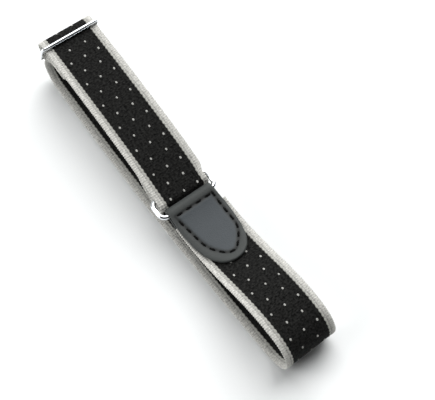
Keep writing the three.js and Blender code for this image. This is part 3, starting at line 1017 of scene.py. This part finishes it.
def make_tab_stitches():
    places, lie, out = [], [], []
    for s, ahead in zip(on_both_layers(stitch_places[:, 0]), (-1, 1)):
        place, sideways, up = tab.at(s, stitch_places[:, 1], LEATHER_THICK / 2 - GROOVE_DEPTH)
        forward = np.cross(sideways, up) * ahead
        places.append(place)
        lie.append(forward * stitch_ways[:, :1] + sideways * stitch_ways[:, 1:])
        out.append(up)
    return scatter(
        "tab_stitches", places, lie, out, stitch_tree(black_thread), black_thread,
        Length=STITCH_LONG * MM, Width=STITCH_WIDTH * MM, Rise=0.2 * MM, Depth=0.5 * MM,
        Twist=5.0, spread=0.03,
    )


# Stitches at the sewn end, in two rows across, seen from below. The tail is the webbing's last
# stretch, in which they lie.
END_ROWS_X = (9.4, 12.4)
END_STITCH_PITCH = 2.6
END_STITCH_HALF = 11.4
END_STITCH_HEIGHT = -0.7
TAIL = 8.0


def make_end_stitches():
    x_of = webbing.points[:, 0]
    tail = webbing.s > webbing.length - TAIL
    count = round(2 * END_STITCH_HALF / END_STITCH_PITCH)
    across = (np.arange(count) + 0.5) * END_STITCH_PITCH - count * END_STITCH_PITCH / 2
    s = np.repeat(np.interp(END_ROWS_X, x_of[tail], webbing.s[tail]), count)
    place, sideways, out = webbing.at(s, np.tile(across, len(END_ROWS_X)), END_STITCH_HEIGHT)
    return scatter(
        "end_stitches", place, sideways, -out, stitch_tree(black_thread), black_thread,
        Length=2.1 * MM, Width=0.6 * MM, Rise=0.25 * MM, Depth=0.35 * MM, Twist=4.0,
        spread=0.03,
    )


# Chrome fittings, and the steps of their round parts

RING_SIDES = 28
RING_CORNER_STEPS = 14
SLIDE_CORNER_STEPS = 10
SLOT_CORNER_STEPS = 5
SLIDE_EDGE_STEPS = 4
MERGE_WITHIN = 0.01


def fitted(points, place, slope, side):
    """Points of a rigid fitting, from its own plane to its place in the bowed loop."""
    u, v, w = np.asarray(points, float).reshape(-1, 3).T
    along_x = u * math.cos(slope) - w * math.sin(slope)
    up = u * math.sin(slope) + w * math.cos(slope)
    x, y, turn = bowed(place[0], side)
    return np.stack([
        x + along_x * math.cos(turn) - v * math.sin(turn),
        y + along_x * math.sin(turn) + v * math.cos(turn),
        place[1] + up,
    ], -1)


def rounded_rectangle(long, wide, radius, corner_steps):
    points = []
    for quarter, (sx, sy) in enumerate([(1, 1), (-1, 1), (-1, -1), (1, -1)]):
        centre = np.array([sx * (long / 2 - radius), sy * (wide / 2 - radius)])
        turns = (quarter + np.linspace(0, 1, corner_steps + 1)) * math.pi / 2
        points += [centre + along(turn) * radius for turn in turns]
    return np.array(points)


def make_ring():
    """A closed oblong of round wire."""
    span = tab_bar - strap_bar
    long, wide = np.linalg.norm(span), RING_WIDTH - RING_WIRE
    line = rounded_rectangle(long, wide, RING_CORNER, RING_CORNER_STEPS)
    before, after = np.roll(line, 1, axis=0), np.roll(line, -1, axis=0)
    way = (after - before) / np.linalg.norm(after - before, axis=1)[:, None]
    outward = np.stack([way[:, 1], -way[:, 0]], -1)
    turns = np.arange(RING_SIDES) * math.tau / RING_SIDES
    level = line[:, None] + outward[:, None] * np.cos(turns)[:, None] * RING_WIRE / 2
    height = np.broadcast_to(np.sin(turns) * RING_WIRE / 2, level.shape[:2])
    points = np.concatenate([level, height[..., None]], -1)
    slope = math.atan2(span[1], span[0])
    places = fitted(points, (tab_bar + strap_bar) / 2, slope, RING_SIDE)
    faces = tube_faces(len(line), RING_SIDES, closed=True)
    return make_piece("ring_chrome", places, faces, chrome)


def make_slide():
    """A flat frame with three cross bars, cut from plate and tumbled to round edges."""
    curve = bpy.data.curves.new("slide_plan", "CURVE")
    curve.dimensions = "2D"
    curve.fill_mode = "BOTH"
    curve.extrude = SLIDE_THICK / 2 - SLIDE_ROUND
    curve.bevel_depth = SLIDE_ROUND
    curve.bevel_resolution = SLIDE_EDGE_STEPS
    curve.offset = -SLIDE_ROUND
    tall = 2 * SLIDE_PITCH + SLIDE_BAR
    slot = rounded_rectangle(
        SLIDE_PITCH - SLIDE_BAR, SLIDE_WIDTH - 2 * SLIDE_RIM, SLOT_CORNER, SLOT_CORNER_STEPS
    )
    outlines = [rounded_rectangle(tall, SLIDE_WIDTH, SLIDE_CORNER, SLIDE_CORNER_STEPS)]
    outlines += [slot + [side * SLIDE_PITCH / 2, 0] for side in (-1, 1)]
    for outline in outlines:
        spline = curve.splines.new("POLY")
        spline.points.add(len(outline) - 1)
        for point, (x, y) in zip(spline.points, outline):
            point.co = (x, y, 0, 1)
        spline.use_cyclic_u = True
    plan = new_object("slide_plan", curve)
    flat = final_mesh(plan)
    bpy.data.objects.remove(plan)
    form = bmesh.new()
    form.from_mesh(flat)
    bpy.data.meshes.remove(flat)
    bmesh.ops.remove_doubles(form, verts=form.verts, dist=MERGE_WITHIN)
    bmesh.ops.recalc_face_normals(form, faces=form.faces)
    form.verts.index_update()
    points = [vertex.co for vertex in form.verts]
    faces = [[vertex.index for vertex in face.verts] for face in form.faces]
    places = fitted(points, slide_middle, SLIDE_TILT, SLIDE_SIDE)
    form.free()
    return make_piece("slide_chrome", places, faces, chrome)


# The assembly

webbing_piece = make_webbing()
dots = make_dots()
teeth = make_teeth()
tab_piece = make_tab()
tab_thread = make_tab_stitches()
end_thread = make_end_stitches()
ring = make_ring()
slide = make_slide()

for piece in (webbing_piece, dots, teeth, tab_piece, tab_thread, end_thread, ring, slide):
    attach(piece, "root")

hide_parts("elastic_band")
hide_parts("leather_tab")
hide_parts("ring")
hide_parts("slide")


# Floor and light

# The paper lies a little lower than the webbing's underside, clear of its ribs
FLOOR_DROP = 0.1
FLOOR_SIZE = 3000.0

# Heights of the sweep's edge in the world, as sines of the elevation, and their tones
SWEEP_TOP = 0.05
STUDIO_FROM = 0.2
SWEEP_TONE = 0.8
STUDIO_TONE = 0.03

# Softboxes: the azimuth and elevation in degrees, the diameter in metres, the watts
SOFTBOXES = [
    ("main_softbox", 138, 56, 2.4, 54.5),
    ("back_softbox", 111, 23, 1.9, 18.0),
    ("left_softbox", 248, 28, 1.8, 28.0),
]
SOFTBOX_DISTANCE = 2.0


def make_floor():
    """A matt white sweep of paper."""
    material, tree = new_material("matt_white_paper")
    place = add(tree, "ShaderNodeTexCoord").outputs["Object"]
    noise = {"Vector": place, "Scale": 1 / (PAPER_CLOUD_SIZE * MM), "Detail": 2.0}
    cloud = add(tree, "ShaderNodeTexNoise", noise).outputs["Fac"]
    whites = {0: cloud, COLOUR_A: linear("f2f4f4"), COLOUR_B: linear("f5f7f7")}
    colour = add(tree, "ShaderNodeMix", whites, data_type="RGBA").outputs[MIXED]
    end_material(tree, {"Base Color": colour, "Roughness": 0.95})
    half = FLOOR_SIZE / 2
    corners = [(-half, -half), (half, -half), (half, half), (-half, half)]
    places = np.array([(x, y, -FLOOR_DROP) for x, y in corners]) - [*CAD_SHIFT[:2], 0]
    floor = make_piece("floor", places, [[0, 1, 2, 3]], material)


def add_light(name, azimuth, elevation, size, watts):
    lamp = bpy.data.lights.new(name, "AREA")
    lamp.shape = "DISK"
    lamp.size = size
    lamp.energy = watts
    way = direction(math.radians(azimuth), math.radians(elevation))
    light = new_object(name, lamp)
    turn = way.to_track_quat("Z", "Y").to_matrix().to_4x4()
    light.matrix_world = Matrix.Translation(way * SOFTBOX_DISTANCE) @ turn


def set_world():
    """A dark studio, with the pale far edge of the paper sweep all round it."""
    world = bpy.data.worlds.new("studio")
    world.use_nodes = True
    tree = world.node_tree
    tree.nodes.clear()
    way = add(tree, "ShaderNodeTexCoord").outputs["Generated"]
    height = add(tree, "ShaderNodeSeparateXYZ", {0: way}).outputs["Z"]
    sweep = {"Value": height, "From Min": SWEEP_TOP, "From Max": STUDIO_FROM}
    share = add(tree, "ShaderNodeMapRange", sweep, interpolation_type="SMOOTHSTEP").outputs[0]
    tones = {0: share, COLOUR_A: (*[SWEEP_TONE] * 3, 1), COLOUR_B: (*[STUDIO_TONE] * 3, 1)}
    tone = add(tree, "ShaderNodeMix", tones, data_type="RGBA").outputs[MIXED]
    sky = add(tree, "ShaderNodeBackground", {"Color": tone, "Strength": 1.0})
    add(tree, "ShaderNodeOutputWorld", {"Surface": sky.outputs[0]})
    bpy.context.scene.world = world


make_floor()
set_world()
for softbox in SOFTBOXES:
    add_light(*softbox)
bpy.context.scene.view_settings.view_transform = "Standard"
